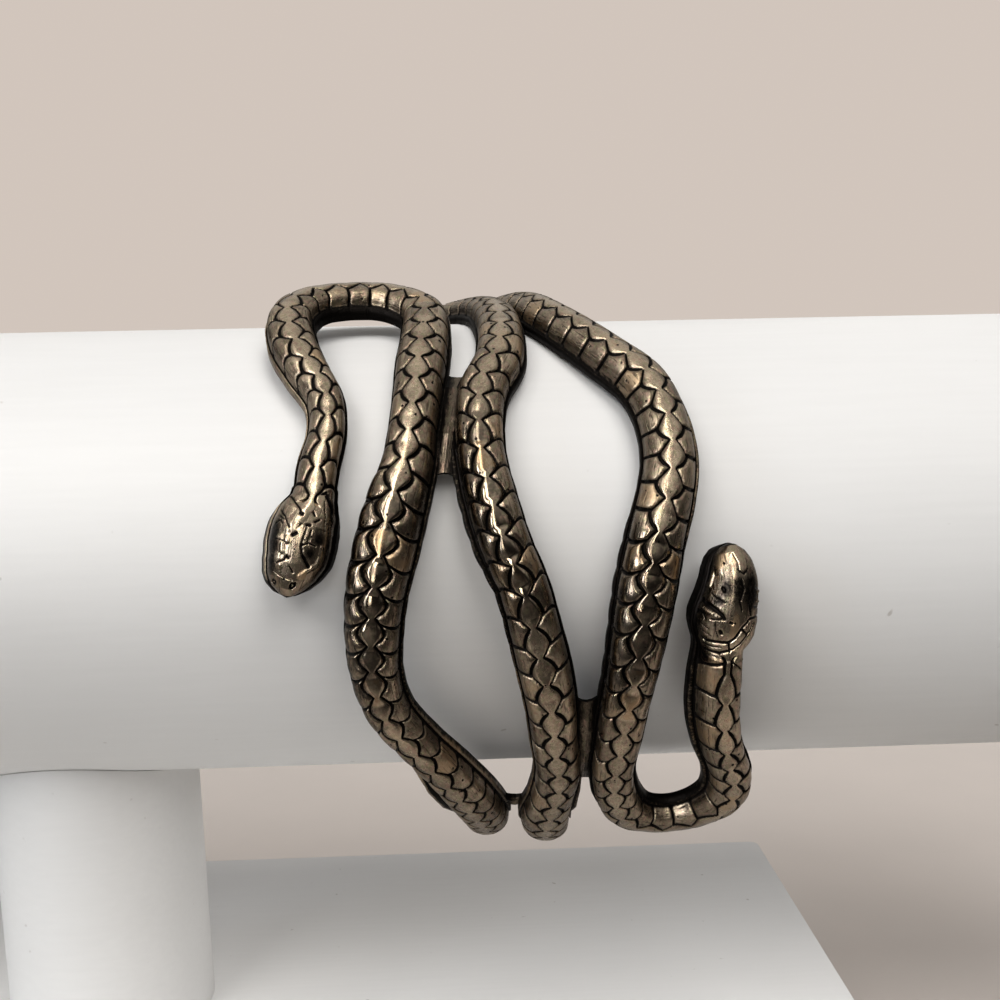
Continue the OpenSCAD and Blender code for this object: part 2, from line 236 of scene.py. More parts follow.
# length, where the side groove starts, bulge, groove depth, half width of the diamond, bow, bow at the
# foot, where the diamond is widest
START, BULGE, DEPTH, WIDEST, BOW, FOOT_BOW, PEAK = range(1, 8)
CHARACTER = np.array([
    (9, 0.36, 0.05, 0.26, 0.46, 0.25, -0.4, 0.36), (24, 0.38, 0.05, 0.26, 0.5, 0.3, -0.5, 0.38),
    (33, 0.4, 0.08, 0.3, 0.52, 0.25, -0.3, 0.4), (42, 0.45, 0.12, 0.3, 0.5, 0.1, 0, 0.45),
    (50, 0.5, 0.05, 0.3, 0.5, 0, 0.2, 0.5), (62, 0.5, 0.04, 0.3, 0.51, -0.05, 0.4, 0.5),
    (72, 0.45, 0.08, 0.32, 0.5, 0, 0.3, 0.48), (77, 0.26, 0.26, 0.38, 0.48, 0.35, 0.2, 0.5),
    (90, 0.24, 0.26, 0.38, 0.48, 0.35, 0.1, 0.5), (99, 0.4, 0.12, 0.3, 0.5, 0.4, 0, 0.5),
    (120, 0.45, 0.07, 0.28, 0.48, 0.4, 0, 0.5), (208, 0.45, 0.06, 0.28, 0.46, 0, 0.45, 0.45),
    (230, 0.45, 0.08, 0.3, 0.48, 0, 0.45, 0.45), (238, 0.38, 0.1, 0.3, 0.48, 0.2, 0.2, 0.4),
    (243, 0.32, 0.24, 0.34, 0.48, 0.4, 0, 0.32), (247, 0.28, 0.28, 0.38, 0.5, 0.45, 0, 0.28),
    (258, 0.28, 0.22, 0.36, 0.5, 0.45, 0, 0.28), (266, 0.35, 0.06, 0.3, 0.5, 0.35, 0, 0.35),
    (383, 0.48, 0.05, 0.28, 0.5, 0.1, -0.2, 0.48), (398, 0.52, 0.06, 0.3, 0.5, 0.05, -0.4, 0.52),
    (409, 0.5, 0.08, 0.3, 0.5, 0.05, -0.4, 0.5), (413, 0.35, 0.28, 0.4, 0.48, 0.35, 0, 0.5),
    (425, 0.35, 0.24, 0.38, 0.48, 0.4, 0, 0.5), (430, 0.42, 0.1, 0.3, 0.48, 0.42, 0, 0.45),
    (442, 0.42, 0.08, 0.3, 0.48, 0.4, 0, 0.42), (447, 0.45, 0.14, 0.34, 0.52, 0.15, 0, 0.45),
    (456, 0.4, 0.12, 0.32, 0.48, 0.1, 0, 0.4), (463, 0.22, 0.1, 0.32, 0.44, 0.1, 0, 0.25),
    (474, 0.25, 0.1, 0.32, 0.44, 0.1, 0, 0.25), (480, 0.25, 0.07, 0.3, 0.44, 0.1, 0, 0.25),
], float)
# length, how far the base stands out past the scales on the first and the second side, and how
# black its edge is there
FIRST_OUT, SECOND_OUT, FIRST_BLACK, SECOND_BLACK = range(1, 5)
# the black of each edge is partly patina and partly painted shade
LEDGES = np.array([
    (12, 0, 0, 0.62, 0.62), (17, 0, 0, 0.25, 0.62), (42, 0, 0, 0.25, 0.62), (50, 0, 0, 0.5, 0.62),
    (60, 0, 0, 0.62, 0.62), (76, 0.1, 0, 0.55, 0.62), (95, 0.1, 0, 0.55, 0.62), (100, 0.15, 0, 0.45, 0.5),
    (103, 0.2, 0, 0.4, 0.22), (114, 0.2, 0, 0.4, 0.22), (118, 0.15, 0, 0.5, 0.5), (121, 0, 0, 0.62, 0.62),
    (211, 0, 0, 0.42, 0.5), (220, 0, 0, 0.42, 0.5), (222, 0, 0, 0.42, 0.62), (236, 0.1, 0, 0.5, 0.62),
    (243, 0.3, 0, 0.62, 0.62), (248, 0.42, 0, 0.6, 0.62), (256, 0.42, 0, 0.6, 0.62),
    (263, 0.15, 0, 0.62, 0.62), (272, 0, 0, 0.62, 0.62), (394, 0, 0, 0.62, 0.62),
    (400, 0.2, 0, 0.45, 0.62), (409, 0.2, 0.05, 0.5, 0.62), (413, 0.05, 0.2, 0.62, 0.62),
    (427, 0, 0.1, 0.62, 0.62), (440, 0.1, 0.1, 0.62, 0.62),
    (450, 0.2, 0, 0.6, 0.62), (460, 0.3, 0, 0.55, 0.62), (472, 0.4, 0, 0.55, 0.62),
    (478, 0.15, 0, 0.62, 0.62), (482, 0, 0, 0.62, 0.62),
], float)
# length, how far a thin flange of the base stands out beyond the second side
FLANGE = np.array([
    (103, 0), (106, 0.4), (110, 0.75), (115, 0.75), (119, 0.4), (124, 0), (211, 0), (214, 0.35), (218, 0.3),
    (221, 0),
], float)

gap = np.diff(GROOVES, prepend=GROOVES[0] - FIRST_ROW)
NECKS = GROOVES - read(CHARACTER, GROOVES, START) * gap
print(UNITS, "rows of scales, from", round(NECKS[0], 1), "to", round(NECKS[-1], 1), "mm")

# %% [markdown]
# ## A sheet of blanks
# The skin starts as a flat sheet. One row of scales is a small grid, twelve steps long and
# thirty-four across. An array repeats it down the snake, and a plain grid is joined on at
# each end for the heads, where the sheet is then cut finer for the small marks on them.
# Each vertex still has its row and column as its place, so they can be read from it when it
# is laid on the snake.

# %% The sheet
STEPS, HALF, HEAD_STEPS = 12, 17, 40
TOTAL = 2 * HEAD_STEPS + UNITS * STEPS
FINE_COLUMNS, FINE_CUTS, SAME_PLACE = 10, 3, 0.01


def blank(name, steps, start):
    """A flat grid of unit squares, from one row number on, with the crest along its middle."""
    bpy.ops.object.select_all(action="DESELECT")
    bpy.ops.mesh.primitive_grid_add(x_subdivisions=steps, y_subdivisions=2 * HALF, size=1)
    piece = bpy.context.object
    piece.name = piece.data.name = name
    edit_all(piece)
    bpy.ops.transform.resize(value=(steps, 2 * HALF, 1))
    bpy.ops.transform.translate(value=(start + steps / 2, 0, 0))
    bpy.ops.object.mode_set(mode="OBJECT")
    return piece


left_blank = blank("left_head_blank", HEAD_STEPS, 0)
right_blank = blank("right_head_blank", HEAD_STEPS, TOTAL - HEAD_STEPS)
skin = blank("snake_skin", STEPS, HEAD_STEPS)
array = skin.modifiers.new("rows_of_scales", "ARRAY")
array.count = UNITS
array.use_relative_offset = False
array.use_constant_offset = True
array.constant_offset_displace = (STEPS, 0, 0)
array.use_merge_vertices = True
array.merge_threshold = SAME_PLACE
bpy.ops.object.modifier_apply(modifier=array.name)
only(skin)
left_blank.select_set(True)
right_blank.select_set(True)
bpy.ops.object.join()
edit_all(skin)
bpy.ops.mesh.remove_doubles(threshold=SAME_PLACE)
bpy.ops.mesh.select_all(action="DESELECT")
bpy.ops.mesh.select_mode(type="FACE")
bpy.ops.object.mode_set(mode="OBJECT")
row_of, column_of = np.array([face.center[:2] for face in skin.data.polygons]).T
fine_part = (np.minimum(row_of, TOTAL - row_of) < HEAD_STEPS) & (np.abs(column_of) < FINE_COLUMNS)
skin.data.polygons.foreach_set("select", fine_part)
bpy.ops.object.mode_set(mode="EDIT")
bpy.ops.mesh.subdivide(number_cuts=FINE_CUTS)
bpy.ops.mesh.select_mode(type="VERT")
bpy.ops.object.mode_set(mode="OBJECT")
print("sheet:", len(skin.data.polygons), "faces,", int(fine_part.sum()), "of them cut finer")

# %% [markdown]
# ## Laying the scales
# Along the snake, the twelve steps of a row are close together where a groove crosses, so
# that each groove has two walls and a floor. Across it, the first columns hold the middle
# scale, the next four follow the zigzag groove, then come the side scale, the groove at
# its foot, the rim, the side wall and the flat back. In places the base stands out past the
# scales on one side, as a dark ledge.

# %% Rows: the length of each step
GROOVE_FLOOR, GROOVE_WALL = 0.11, 0.19
SNOUT_CLOSER = 1.35


def length_of_rows():
    """The length from the left snout at each row; on the heads, rows are closer near the snout."""
    s = np.zeros(TOTAL + 1)
    spread = (np.arange(HEAD_STEPS + 1) / HEAD_STEPS) ** SNOUT_CLOSER
    s[:HEAD_STEPS + 1] = spread * NECKS[0]
    for k in range(UNITS):
        groove, first = GROOVES[k], HEAD_STEPS + k * STEPS
        before = np.linspace(NECKS[k], groove - GROOVE_WALL, 5)
        after = np.linspace(groove + GROOVE_WALL, NECKS[k + 1], 6)
        floor = [groove - GROOVE_FLOOR, groove + GROOVE_FLOOR]
        s[first:first + STEPS] = np.concatenate([before, floor, after[:5]])
    s[TOTAL - HEAD_STEPS:] = SNAKE_LEN - spread[::-1] * (SNAKE_LEN - NECKS[UNITS])
    return s


S_OF_ROW = length_of_rows()
print("rows:", len(S_OF_ROW), "shortest step", round(np.diff(S_OF_ROW).min(), 3), "mm")


# %% The dome across the snake
ANGLES = np.radians(np.linspace(0, 85, 60))
RIM_OUT, WALL_PER_LIFT, FULLNESS = 0.28, 0.3, 0.8
LEAST_W, NOTHING = 0.02, 1e-9


def dome_table(half, high, wall):
    """Side and height of the dome's points for each row, with their distance from the crest."""
    w = (half[:, None] - RIM_OUT).clip(LEAST_W) * np.sin(ANGLES)
    z = wall[:, None] + (high - wall)[:, None] * np.cos(ANGLES) ** FULLNESS
    steps = np.hypot(np.diff(w, axis=1), np.diff(z, axis=1))
    return w, z, np.concatenate([np.zeros((len(half), 1)), np.cumsum(steps, axis=1)], 1)


def dome_point(reach, w_table, z_table, reach_table):
    """Side, height and part of the way round at a distance from the crest, and the outward direction."""
    each, index = np.arange(len(reach)), np.zeros(len(reach), int)
    for j in range(1, len(ANGLES) - 1):
        index += (reach_table[:, j] <= reach)
    reach_0, w_0, z_0 = (table[each, index] for table in (reach_table, w_table, z_table))
    reach_1, w_1, z_1 = (table[each, index + 1] for table in (reach_table, w_table, z_table))
    part = ((reach - reach_0) / np.maximum(reach_1 - reach_0, NOTHING)).clip(0, 1)
    across = np.degrees(ANGLES[index] * (1 - part) + ANGLES[index + 1] * part) / 90
    size = np.maximum(np.hypot(w_1 - w_0, z_1 - z_0), NOTHING)
    w, z = w_0 * (1 - part) + w_1 * part, z_0 * (1 - part) + z_1 * part
    return w, z, across, (z_0 - z_1) / size, (w_1 - w_0) / size


# %% [markdown]
# The heads have no rows of scales. Each has creases, pits and low ridges, drawn as lines
# through a few places on the head: the distance back from the snout, and how far round the
# dome, from minus one at the left foot to one at the right foot. A ridge has a negative
# depth. Soft patches then make the hollows dark and the high places golden; the dark patches
# are partly patina and partly painted dark reflection, as on the left side of each head.

# %% Lines and patches on the heads
# half width, depth, darkness, places (back, across)
LEFT_HEAD_LINES = [
    # creases over the left brow and cheek
    (0.07, 0.16, 0.9, [(9.4, -0.76), (8.8, -0.4), (8.2, -0.16), (7.8, -0.08)]),
    (0.06, 0.14, 0.85, [(7.7, -0.64), (7.2, -0.42), (6.4, -0.24)]),
    (0.05, 0.1, 0.7, [(7.2, -0.6), (7.0, -0.42)]),
    (0.05, 0.1, 0.7, [(6.6, -0.62), (6.9, -0.5), (6.6, -0.42)]),
    (0.05, 0.1, 0.7, [(5.4, -0.52), (5.2, -0.32)]),
    (0.06, 0.12, 0.85, [(3.2, -0.44), (3.6, -0.26), (4.0, -0.22)]),
    # pits beside the ridge of the crown
    (0.12, 0.2, 0.95, [(7.8, -0.1), (7.75, -0.06)]),
    (0.12, 0.2, 0.95, [(5.8, -0.14), (6.0, -0.08)]),
    (0.1, 0.2, 0.95, [(3.9, -0.21), (3.8, -0.18)]),
    (0.1, 0.15, 0.85, [(8.2, 0.16), (8.0, 0.2)]),
    (0.11, 0.16, 0.85, [(6.9, 0.1), (7.0, 0.17)]),
    (0.08, 0.14, 0.85, [(7.4, 0.24), (7.8, 0.34)]),
    # the ridge of the crown, and the bumps at its left
    (0.45, -0.12, 0, [(10.4, 0.06), (9, 0.02), (7.6, -0.08), (6.7, -0.2)]),
    (0.3, -0.1, 0, [(6.9, -0.2), (6.3, -0.27)]),
    (0.28, -0.1, 0, [(5.5, -0.42), (5.3, -0.38)]),
    (0.24, -0.1, 0, [(5.4, -0.26), (5.3, -0.24)]),
    (0.28, -0.1, 0, [(4.9, -0.36), (4.4, -0.36)]),
    (0.28, -0.1, 0, [(4.0, -0.44), (3.7, -0.44)]),
    (0.26, -0.1, 0, [(3.2, -0.42), (3.0, -0.36)]),
    # long creases down the forehead
    (0.05, 0.1, 0.6, [(6.7, 0.12), (6.0, 0.1), (5.0, 0.06)]),
    (0.05, 0.1, 0.6, [(6.6, 0.22), (5.8, 0.2), (5.1, 0.18)]),
    # the plate under the eye: its outline, its heavy lower edge, and the bright crescent round it
    (0.06, 0.14, 0.9, [(4.2, 0.1), (5.0, 0.06), (5.3, 0.2), (5.1, 0.36)]),
    (0.11, 0.26, 1.0, [(4.1, 0.12), (3.7, 0.2), (3.3, 0.3)]),
    (0.2, -0.12, 0, [(5.0, 0.5), (4.3, 0.54), (3.5, 0.46), (3.0, 0.32), (2.4, 0.2)]),
    # the right flank
    (0.16, 0.22, 1.0, [(9.9, 0.36), (9.3, 0.52), (8.8, 0.7)]),
    (0.05, 0.1, 0.65, [(9.2, 0.36), (8.2, 0.46), (7.2, 0.5), (6.6, 0.52)]),
    (0.05, 0.1, 0.6, [(8.0, 0.62), (7.0, 0.68), (6.2, 0.74)]),
    # nostrils, and a crease between them
    (0.08, 0.2, 0.85, [(1.3, -0.7), (1.6, -0.58), (1.5, -0.48), (1.2, -0.56), (1.3, -0.7)]),
    (0.09, 0.25, 1.0, [(1.6, 0.06), (1.7, 0.16), (1.4, 0.2), (1.15, 0.13), (1.2, 0.05), (1.6, 0.06)]),
    (0.06, 0.14, 0.85, [(3.1, -0.12), (2.6, 0.0)]),
    (0.05, 0.08, 0.6, [(2.4, -0.5), (2.0, -0.2), (1.9, 0.05)]),
]
RIGHT_HEAD_LINES = [
    # the two collars behind the head, and the lines between them
    (0.11, 0.28, 1.0, [(8, -0.98), (8.8, -0.98), (9.2, -0.9), (9.5, -0.72), (9.4, -0.5), (9.25, -0.2),
                       (9.15, -0.06), (8.6, 0.06), (7.6, 0.16), (6.6, 0.34), (6.2, 0.94)]),
    (0.1, 0.26, 1.0, [(10.4, -0.98), (10.4, -0.52), (10.35, -0.3), (10, -0.04), (9.75, 0.1), (9.1, 0.24),
                      (8.1, 0.34), (7, 0.5)]),
    (0.08, 0.2, 0.9, [(9.15, -0.06), (10.1, 0.02)]),
    (0.08, 0.2, 0.9, [(7.7, 0.2), (8.0, 0.32)]),
    (0.06, 0.12, 0.7, [(9.9, -0.8), (9.9, -0.5), (9.75, -0.24)]),
    (0.12, 0.26, 1.0, [(11.9, -0.98), (11.8, -0.6), (11.5, -0.3), (11.2, -0.12)]),
    (0.08, 0.2, 0.9, [(11.0, 0.12), (11.5, 0.34), (11.9, 0.5)]),
    # left brow, with a bright ridge under it
    (0.14, 0.26, 1.0, [(5.9, -0.92), (6.15, -0.66), (6.4, -0.46), (6.7, -0.3), (7.0, -0.24)]),
    (0.08, 0.18, 0.95, [(7.0, -0.26), (7.2, -0.4), (7.3, -0.52)]),
    (0.12, -0.14, 0, [(6.4, -0.86), (6.7, -0.66), (6.8, -0.5)]),
    (0.05, 0.1, 0.8, [(6.8, -0.9), (7.0, -0.72), (7.5, -0.66)]),
    (0.05, 0.1, 0.8, [(7.7, -0.94), (8.0, -0.76), (8.3, -0.54)]),
    (0.05, 0.1, 0.7, [(8.5, -0.9), (8.7, -0.7), (8.9, -0.5)]),
    (0.05, 0.1, 0.8, [(7.4, -0.42), (8.0, -0.4), (8.8, -0.32)]),
    # pits on the snout, the brow and the crown
    (0.07, 0.18, 1.0, [(1.8, -0.42), (1.9, -0.4)]),
    (0.13, 0.24, 1.0, [(4.3, -0.42), (4.5, -0.38)]),
    (0.12, 0.22, 1.0, [(7.2, -0.1), (7.25, -0.07)]),
    (0.13, 0.24, 0.9, [(8.2, -0.28), (8.4, -0.25)]),
    # the white ridge on the left cheek, and the golden crest of the snout
    (0.22, -0.18, 0, [(2.7, -0.78), (3.6, -0.8), (4.3, -0.82)]),
    (0.5, -0.12, 0, [(0.9, -0.44), (1.6, -0.54), (2.3, -0.56)]),
    # creases on the right side of the snout and over the right eye
    (0.05, 0.1, 0.6, [(1.2, -0.08), (2.0, 0.02), (2.8, 0.0)]),
    (0.06, 0.12, 0.8, [(2.6, -0.02), (3.0, 0.12), (2.7, 0.26)]),
    (0.05, 0.1, 0.8, [(3.4, 0.04), (4.2, 0.1), (5.2, 0.02), (6.0, 0.1)]),
    (0.06, 0.14, 0.9, [(3.6, 0.3), (4.6, 0.34), (5.5, 0.28), (6.2, 0.34)]),
    (0.1, 0.2, 1.0, [(4.6, 0.62), (5.2, 0.6)]),
    (0.08, -0.12, 0, [(4.4, 0.56), (4.3, 0.74)]),
    (0.08, -0.12, 0, [(5.0, 0.52), (5.1, 0.74)]),
    (0.07, 0.16, 0.9, [(4.0, 0.5), (4.2, 0.86)]),
    (0.07, 0.16, 0.9, [(5.5, 0.46), (5.6, 0.86)]),
    (0.05, 0.1, 0.8, [(5.0, -0.7), (5.4, -0.5), (5.6, -0.3)]),
]
# back, across, half length and half width in millimetres, dark (or golden, when negative)
# dark patches: partly patina, partly painted dark reflection on the head's left side
LEFT_HEAD_PATCHES = [
    (5.4, -0.62, 2.2, 1.1, 1.25), (3.2, -0.62, 1.7, 0.9, 1.1), (5.8, 0.42, 0.8, 0.75, 1.2),
    (4.4, 0.26, 0.7, 0.6, 1.1), (8.8, 0.62, 1.5, 0.7, 0.9), (2.2, -0.25, 0.9, 0.9, 0.5),
    (5.4, 0.7, 1.4, 0.5, 0.9), (3.4, 0.7, 1.4, 0.4, 0.9), (5.4, 0.05, 1.5, 0.7, 0.62),
    (2.5, 0.22, 0.7, 0.6, -1.0), (7.4, -0.72, 0.8, 0.5, -0.7), (8.3, -0.3, 1.3, 0.7, -0.6),
    (7.4, 0.6, 1.3, 0.6, -0.6), (4.3, 0.54, 0.9, 0.2, -0.9),
]
# dark patches: partly patina, partly painted shade and painted dark reflection
RIGHT_HEAD_PATCHES = [
    (4.4, 0.34, 2.1, 1.3, 1.25), (4.2, -0.02, 1.7, 1.0, 1.2), (4.3, -0.32, 1.4, 0.9, 1.2),
    (5.5, -0.45, 0.8, 0.9, 1.1), (6.5, -0.66, 0.9, 1.2, 1.2), (8.2, -0.9, 0.9, 0.7, 0.9),
    (3.0, -0.92, 2.6, 0.4, 1.2), (2.9, 0.3, 0.9, 0.9, 0.9), (8.0, -0.5, 0.9, 0.9, -0.5),
    (1.5, -0.55, 1.1, 0.9, -0.9), (1.6, -0.05, 0.8, 0.4, -0.8),
    (7.4, 0.0, 1.7, 0.55, -1.0), (6.6, 0.2, 0.6, 0.5, -0.5), (9.8, 0.1, 0.5, 0.5, -0.6),
    (8.6, 0.3, 0.8, 0.4, -0.5), (11.3, -0.8, 1.0, 1.1, 1.2), (10.6, -0.9, 0.8, 0.8, 1.0),
]


def line_marks(back, across, quarter, lines):
    """How deep the lines are at each place, and how dark."""
    pit, ridge, dark = np.zeros_like(back), np.zeros_like(back), np.zeros_like(back)
    for width, deep, blackness, places in lines:
        for (b0, a0), (b1, a1) in zip(places[:-1], places[1:]):
            x, y = back - b0, (across - a0) * quarter
            dx, dy = b1 - b0, (a1 - a0) * quarter
            along = ((x * dx + y * dy) / np.maximum(dx * dx + dy * dy, 1e-6)).clip(0, 1)
            away = np.hypot(x - along * dx, y - along * dy) / width
            shape = (1 - (away / 1.5) ** 2).clip(0, 1)
            if deep > 0:
                pit = np.maximum(pit, deep * shape ** 0.8)
            else:
                ridge = np.maximum(ridge, -deep * shape ** 1.3)
            dark = np.maximum(dark, ((1.6 - away) / 0.8).clip(0, 1) * blackness)
    return pit, ridge, dark


def patch_marks(back, across, quarter, patches):
    """How dark the soft patches are at each place, and how golden."""
    dark, gold = np.zeros_like(back), np.zeros_like(back)
    for b, a, long, wide, amount in patches:
        near = np.exp(-(((back - b) / long) ** 2 + ((across - a) * quarter / wide) ** 2))
        dark = np.maximum(dark, near * amount)
        gold = np.maximum(gold, -near * amount)
    return dark, gold


# %% [markdown]
# ## Laying the sheet on the snake
# A bump texture could draw the scales, but on the casting they catch the light at their
# edges and show in the outline, so here they are real relief. A vertex's row gives its
# length along the snake, and its column its distance from the crest. Each of the next cells
# adds one thing, for all the vertices at once.

# %% Rows and columns of the vertices
# columns from the crest: edges of the middle and the side scale, foot of the dome, then the base
MID_EDGE, SIDE_EDGE, SIDE_FOOT, DOME_FOOT = 2, 5, 11, 12
LEDGE_IN, LEDGE_OUT, RIM, WALL_FOOT, BACK = 13, 14, 15, 16, 17
# lengths back from the snout, in millimetres, of the left and the right head where they differ
SCALES_FROM, SCALES_FADE = (8.5, 10.2), 0.9
HEAD_TO, HEAD_FADE = 7.0, 2.5


def smooth_step(x):
    x = np.clip(x, 0, 1)
    return x * x * (3 - 2 * x)


rows, columns, _ = np.rint(places_of(skin.data) * (FINE_CUTS + 1)).T / (FINE_CUTS + 1)
column, side = np.abs(columns), np.sign(columns)
step = (rows - HEAD_STEPS) % STEPS
on_body = ((rows >= HEAD_STEPS) & (rows <= TOTAL - HEAD_STEPS)).astype(float)
on_dome, on_side = column <= DOME_FOOT, (column >= SIDE_EDGE) & (column <= SIDE_FOOT)
s_row = np.interp(rows, np.arange(TOTAL + 1), S_OF_ROW)
back = np.minimum(s_row, SNAKE_LEN - s_row)
left = s_row < SNAKE_LEN / 2
# how much of the scale pattern there is at each vertex, and how much of the head's shape
pattern = smooth_step((back - np.where(left, *SCALES_FROM)) / SCALES_FADE)
head_part = 1 - smooth_step((back - HEAD_TO) / HEAD_FADE)
print(len(rows), "vertices,", int((head_part > 0).sum()), "of them on the heads")

# %% [markdown]
# The groove between the middle scales and the side scales zigzags. In each row it swings out
# from the crest to the diamond's widest point and back in. Where it runs aslant it is cut
# wider, so that it looks equally broad all along.

# %% The zigzag groove
NECK_HALF, LOOK = 0.34, 0.03
STEEPEST, THINNER = 1.7, 0.35


def zigzag(u, peak, widest):
    """Distance of the groove from the crest at the part u of a row."""
    u = np.clip(u, 0, 1)
    outward = np.clip(u / peak, 0, 1) ** 0.95
    inward = 1 - ((u - peak) / (1 - peak)).clip(0, 1) ** 1.9
    return NECK_HALF + (widest - NECK_HALF) * np.where(u < peak, outward, inward)


# the row that each vertex lies in, and how far along it
place = np.clip(s_row, NECKS[0], NECKS[-1] - 1e-6)
unit = np.clip(np.searchsorted(NECKS, place, side="right") - 1, 0, UNITS - 1)
pitch = NECKS[unit + 1] - NECKS[unit]
u = (place - NECKS[unit]) / pitch
wide = (GROOVES[unit] - NECKS[unit]) / pitch
_, _, half, high, lift_row, _ = frame_at(s_row)
peak = read(CHARACTER, s_row, PEAK)
widest = read(CHARACTER, s_row, WIDEST) * half
zig = zigzag(u, peak, widest)
slope = np.abs(zigzag(u + LOOK, peak, widest) - zigzag(u - LOOK, peak, widest)) / (2 * LOOK * pitch)
stretch = np.sqrt(1 + np.minimum(slope, STEEPEST) ** 2)
rising = smooth_step((peak - u) / 0.08)
thin = 1 - THINNER * rising
floor_w, wall_w = GROOVE_FLOOR * stretch * thin, GROOVE_WALL * stretch * thin
print("the zigzag runs", round(zig.min(), 2), "to", round(zig.max(), 2), "mm from the crest")

# %% The base beside the scales
HEAD_LEDGE, FOOT_GROOVE = 0.3, 0.14
wall = RIM_H + WALL_PER_LIFT * lift_row
ledge = np.where(side < 0, read(LEDGES, s_row, FIRST_OUT), read(LEDGES, s_row, SECOND_OUT))
ledge = ledge * (1 - head_part) + HEAD_LEDGE * head_part
flange = read(FLANGE, s_row, 1) * (side > 0)
dome_foot = (half - RIM_OUT - ledge).clip(LEAST_W)
dome = dome_table(half, high, wall)
quarter = dome[2][:, -1]
foot = quarter - FOOT_GROOVE
print("ledge up to", round(ledge.max(), 2), "mm, flange up to", round(flange.max(), 2), "mm")

# %% Columns over the dome
SIDE_PARTS = SIDE_FOOT - SIDE_EDGE
# the distance from the crest at which each column lies
inner = np.maximum(zig - wall_w, 0.04)
side_scale = [zig + wall_w + (foot - zig - wall_w) * j / SIDE_PARTS for j in range(SIDE_PARTS + 1)]
spots = np.stack([0 * zig, inner * 0.5, inner, np.maximum(zig - floor_w, 0.1), zig + floor_w]
                 + side_scale + [quarter])
each = np.arange(len(zig))
low = np.minimum(np.floor(column), SIDE_FOOT).astype(int)
part = np.minimum(column - low, 1)
reach = spots[low, each] * (1 - part) + spots[low + 1, each] * part
plain = quarter * np.minimum(column, DOME_FOOT) / DOME_FOOT
reach = np.where(on_dome, reach * pattern + plain * (1 - pattern), quarter)
# the grooves between the side scales bow along the snake
share = ((column - SIDE_EDGE) / SIDE_PARTS).clip(0, 1)
bow = read(CHARACTER, s_row, BOW) * np.sin(np.pi * share) + read(CHARACTER, s_row, FOOT_BOW) * share ** 2
s = np.clip(s_row + np.where(on_dome, bow, 0) * pattern, 0, SNAKE_LEN)
middle, way, _, high_here, lift, lean = frame_at(s)
w, z, across, out_w, out_z = dome_point(reach, *dome)
print("the dome measures", round(quarter.max(), 2), "mm at most from crest to foot")

# %% [markdown]
# Some stretches of the snake have scales like knobs, and others nearly flat ones. A knob
# rises steeply at its ends and is round over its top, and it is lower on one side of each
# long strand. The grooves are sunk between the scales.

# %% Bulges and grooves
ROUND, SECOND_STRAND, FIRST_STRAND = 0.7, (180, 330), 60
scale = np.clip(np.searchsorted(GROOVES, place, side="right") - 1, -1, UNITS)
scale_start = np.where(scale < 0, GROOVES[0] - FIRST_ROW, GROOVES[np.clip(scale, 0, UNITS)])
scale_end = GROOVES[np.clip(scale + 1, 0, UNITS)]
# how far along its scale each vertex lies, and how far over it
on_it = ((place - scale_start) / np.maximum(scale_end - scale_start, 1e-6)).clip(0, 1)
over_it = ((reach - zig) / np.maximum(foot - zig, 1e-6)).clip(0, 1)
round_on, round_over = np.sin(np.pi * on_it), np.sin(np.pi * over_it)
knob = read(CHARACTER, s_row, BULGE)
in_second = (s_row > SECOND_STRAND[0]) & (s_row < SECOND_STRAND[1])
low_side = np.where(in_second, side > 0, side < 0) & (s_row > FIRST_STRAND)
side_knob = knob * (1 - 0.6 * low_side)
flat_scale = 1 - smooth_step((side_knob - 0.1) / 0.12)
side_bulge = side_knob * round_on ** ROUND * round_over ** (0.6 + 0.6 * flat_scale)
side_bulge = side_bulge + 0.25 * side_knob * (on_it - 0.5)
mid_bulge = 0.5 * knob * np.sin(np.pi * ((u - wide) % 1)) ** ROUND
bulge = np.where(on_side, side_bulge, np.where(column <= MID_EDGE, mid_bulge, 0))
# the floors of the zigzag grooves and of the crosswise ones
zig_floor = (1.5 - np.abs(column - 3.5)).clip(0, 1)
cross_floor = (((step == 5) | (step == 6)) & (column >= 4) & on_dome).astype(float) * on_body
depth = read(CHARACTER, s_row, DEPTH) * np.maximum(zig_floor, cross_floor)
move = np.where(on_dome, (bulge - depth), 0) * pattern
print("scales rise up to", round(bulge.max(), 2), "mm, grooves are", round(depth.max(), 2), "mm deep")

# %% The marks on the heads
MARKS_END, MARKS_TO, MARKS_FADE = 12.4, (9.8, 11.4), 0.8
near_head = (back < MARKS_END) & on_dome
pit, ridge, pit_dark, hollow, gold = np.zeros((5, len(reach)))
for this_head, lines, patches in ((near_head & left, LEFT_HEAD_LINES, LEFT_HEAD_PATCHES),
                                  (near_head & ~left, RIGHT_HEAD_LINES, RIGHT_HEAD_PATCHES)):
    spot = (back[this_head], (across * side)[this_head], quarter[this_head])
    pit[this_head], ridge[this_head], pit_dark[this_head] = line_marks(*spot, lines)
    # the dark patches are partly patina and partly painted dark reflection
    hollow[this_head], gold[this_head] = patch_marks(*spot, patches)
fade = 1 - smooth_step((back - np.where(left, *MARKS_TO)) / MARKS_FADE)
hollow = (hollow * fade * (1 - 14 * ridge).clip(0, 1)).clip(0, 1)
gold = np.maximum(gold * fade, (5 * ridge).clip(0, 0.45))
move += ridge - pit
w = (w + out_w * move) * dome_foot / (half - RIM_OUT).clip(LEAST_W)
z = z + out_z * move
print("pits", round(pit.max(), 2), "mm deep, ridges", round(ridge.max(), 2), "mm high")

# %% [markdown]
# Below the scales come a narrow groove, the ledge or flange, the rim, which follows the
# bulges, the side wall, and the flat back. Each is one column of the sheet, with its side and
# height from a formula. The snouts close in a round, and the left one leans to one side.

